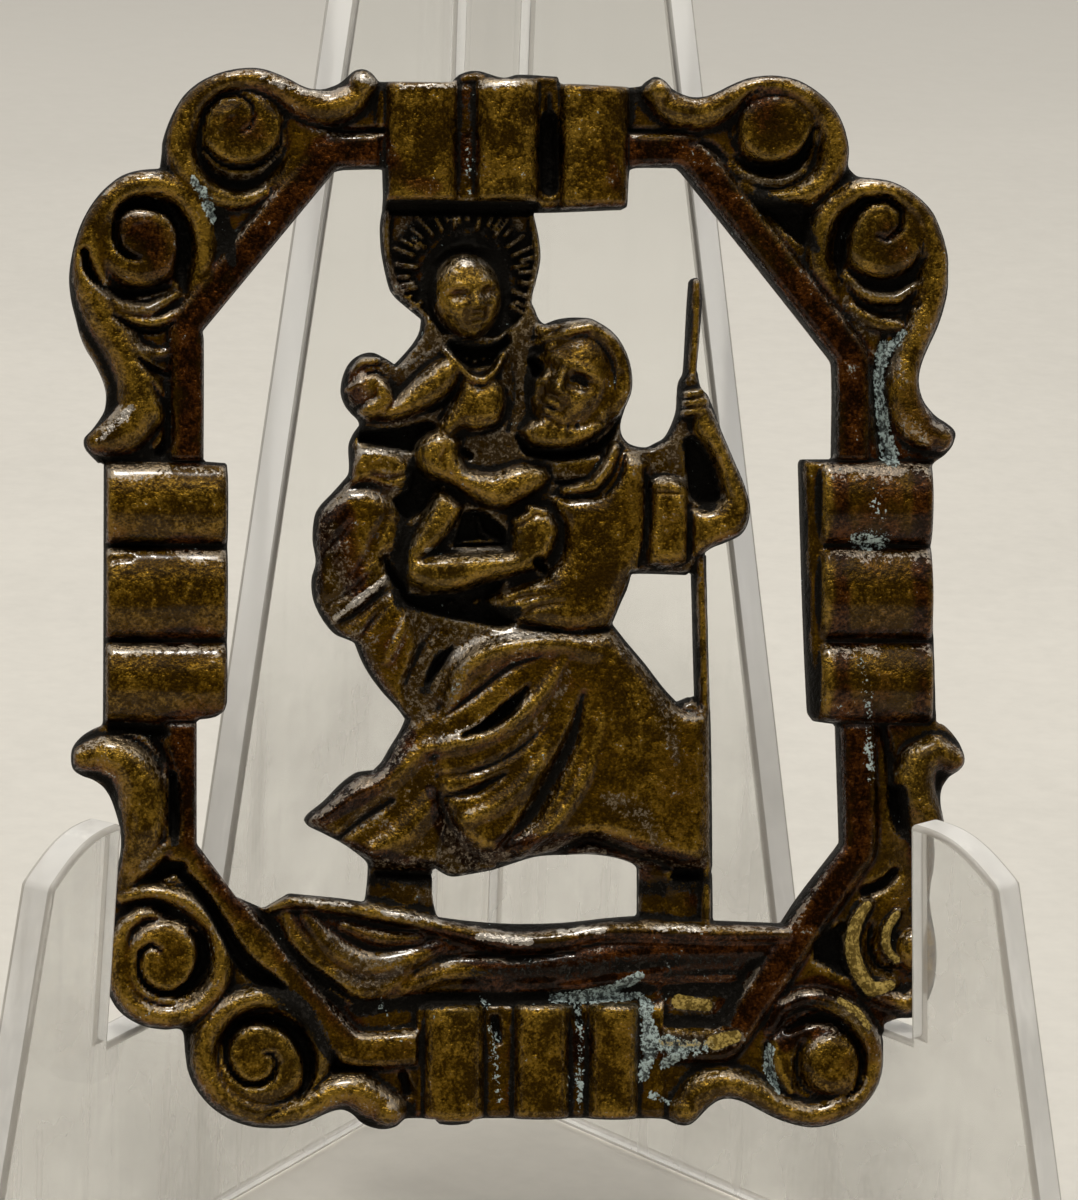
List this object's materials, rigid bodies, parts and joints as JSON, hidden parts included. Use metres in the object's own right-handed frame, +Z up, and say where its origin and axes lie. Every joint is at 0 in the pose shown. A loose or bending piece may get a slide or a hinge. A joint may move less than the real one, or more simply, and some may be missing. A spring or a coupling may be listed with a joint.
{
  "type": "openwork religious medal on a clear easel stand",
  "caption": "Antiqued brass openwork medal of a saint carrying a child through water, in a scrolled frame, leaning on a clear folding easel.",
  "frame": {"origin": "on the floor, at the middle of the easel's footprint", "axes": "+Z up, the medal's face towards -Y, +X to the viewer's right"},
  "size_m": [0.059, 0.0408, 0.076],
  "materials": {
    "antique_brass": "cast, darkened in the recesses, worn bright on the crests, with some green and ochre deposit",
    "clear_plastic": "clear and glossy"
  },
  "bodies": {
    "root": {"medal": "antique_brass", "stand_leaf_left": "clear_plastic", "stand_leaf_right": "clear_plastic", "stand_spine": "clear_plastic"}
  },
  "joints": []
}
